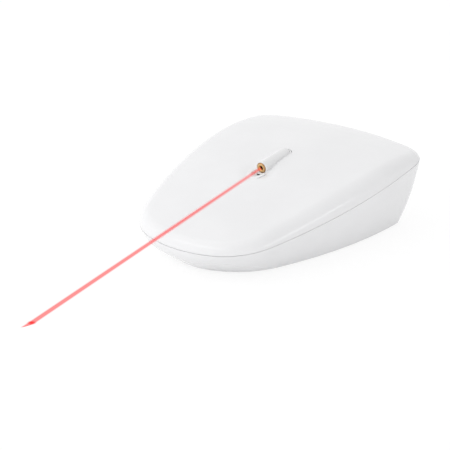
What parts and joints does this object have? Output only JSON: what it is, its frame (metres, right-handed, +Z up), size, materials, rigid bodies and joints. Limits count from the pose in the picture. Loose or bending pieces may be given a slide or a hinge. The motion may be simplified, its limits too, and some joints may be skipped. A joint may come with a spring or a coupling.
{
  "type": "automatic cat laser toy",
  "caption": "Wedge-shaped automatic laser toy for cats: a smooth two-part housing whose small laser barrel pans and tilts in a slot in the crowned top.",
  "frame": {"origin": "centre of the bounding box's underside, on the surface that the toy stands on", "axes": "+X towards the nose, +Y towards the toy's left side, +Z up"},
  "size_m": [0.158, 0.1208, 0.0473],
  "materials": {
    "shell_white": "gloss",
    "barrel_white": "gloss",
    "door_white": "fine satin",
    "foot_rubber": "matt",
    "screw_steel": "zinc plated",
    "washer_steel": "ground",
    "spring_steel": "nickel plated",
    "contact_nickel": "nickel plated",
    "nose_brass": "turned",
    "lens_clear": "clear",
    "diode_metal": "gold plated",
    "board_green": "solder mask",
    "chip_black": "matt",
    "plunger_grey": "matt",
    "capacitor_sleeve": "sleeve",
    "socket_white": "matt",
    "motor_steel": "satin",
    "gear_nylon": "satin",
    "frame_grey": "satin",
    "cell_wrap": "plain printed wrap"
  },
  "bodies": {
    "housing": {"bottom_shell": "shell_white", "top_shell": "shell_white", "rubber_feet": "foot_rubber", "shell_screws": "screw_steel", "chassis": "frame_grey", "chassis_screws": "screw_steel", "pivot_washer": "washer_steel", "pivot_screw": "screw_steel", "idler_axle": "washer_steel", "motor_bracket": "frame_grey", "bracket_screws": "screw_steel", "pan_motor": "motor_steel", "batteries": "cell_wrap", "contact_plates": "contact_nickel", "contact_studs": "contact_nickel", "contact_springs": "spring_steel", "main_board": "board_green", "board_screws": "screw_steel", "controller_chip": "chip_black", "driver_chips": "chip_black", "capacitor": "capacitor_sleeve", "board_sockets": "socket_white", "tact_switch": "chip_black", "switch_board": "board_green"},
    "pan_head": {"pan_yoke": "frame_grey", "tilt_motor": "motor_steel", "motor_clip": "spring_steel"},
    "laser_head": {"laser_barrel": "barrel_white", "laser_module": "nose_brass", "laser_lens": "lens_clear", "laser_diode": "diode_metal", "laser_board": "board_green", "barrel_shutter": "barrel_white", "tilt_cradle": "frame_grey", "tilt_sector": "gear_nylon"},
    "tilt_drive": {"tilt_pinion": "gear_nylon", "tilt_motor_shaft": "washer_steel"},
    "pan_idler": {"idler_gear": "gear_nylon"},
    "pan_drive": {"pan_pinion": "gear_nylon", "pan_motor_shaft": "washer_steel"},
    "power_button": {"power_button": "shell_white", "switch_plunger": "plunger_grey"},
    "battery_door": {"battery_door": "door_white", "door_screw": "screw_steel"}
  },
  "joints": [
    {"name": "pan_turn", "type": "hinge", "parent": "housing", "child": "pan_head", "pos_m": [-0.0058, 0, 0.0228], "axis": [0, 0, 1], "range_deg": [-2.5, 2.5]},
    {"name": "tilt_turn", "type": "hinge", "parent": "pan_head", "child": "laser_head", "pos_m": [-0.01512, 0, 0.03501], "axis": [0, 1, 0], "range_deg": [-2, 3]},
    {"name": "tilt_drive_spin", "type": "hinge", "parent": "pan_head", "child": "tilt_drive", "pos_m": [0.00485, 0, 0.02852], "axis": [0, 1, 0], "range_deg": [-18, 12]},
    {"name": "pan_idler_spin", "type": "hinge", "parent": "housing", "child": "pan_idler", "pos_m": [-0.0268, 0, 0.0228], "axis": [0, 0, 1], "range_deg": [-15, 15]},
    {"name": "pan_drive_spin", "type": "hinge", "parent": "housing", "child": "pan_drive", "pos_m": [-0.0388, 0, 0.0258], "axis": [0, 0, 1], "range_deg": [-45, 45]},
    {"name": "button_press", "type": "slide", "parent": "housing", "child": "power_button", "axis": [0.9846, 0, 0.175], "range_m": [0, 0.0008], "stiffness_N_per_m": 800},
    {"name": "door_turn", "type": "hinge", "parent": "housing", "child": "battery_door", "pos_m": [-0.01565, 0, 0.0011], "axis": [0, -1, 0], "range_deg": [0, 85]}
  ],
  "couplings": [
    {"joint": "pan_idler_spin", "follows": "pan_turn", "ratio": -6},
    {"joint": "pan_drive_spin", "follows": "pan_turn", "ratio": 18},
    {"joint": "tilt_drive_spin", "follows": "tilt_turn", "ratio": -6}
  ]
}
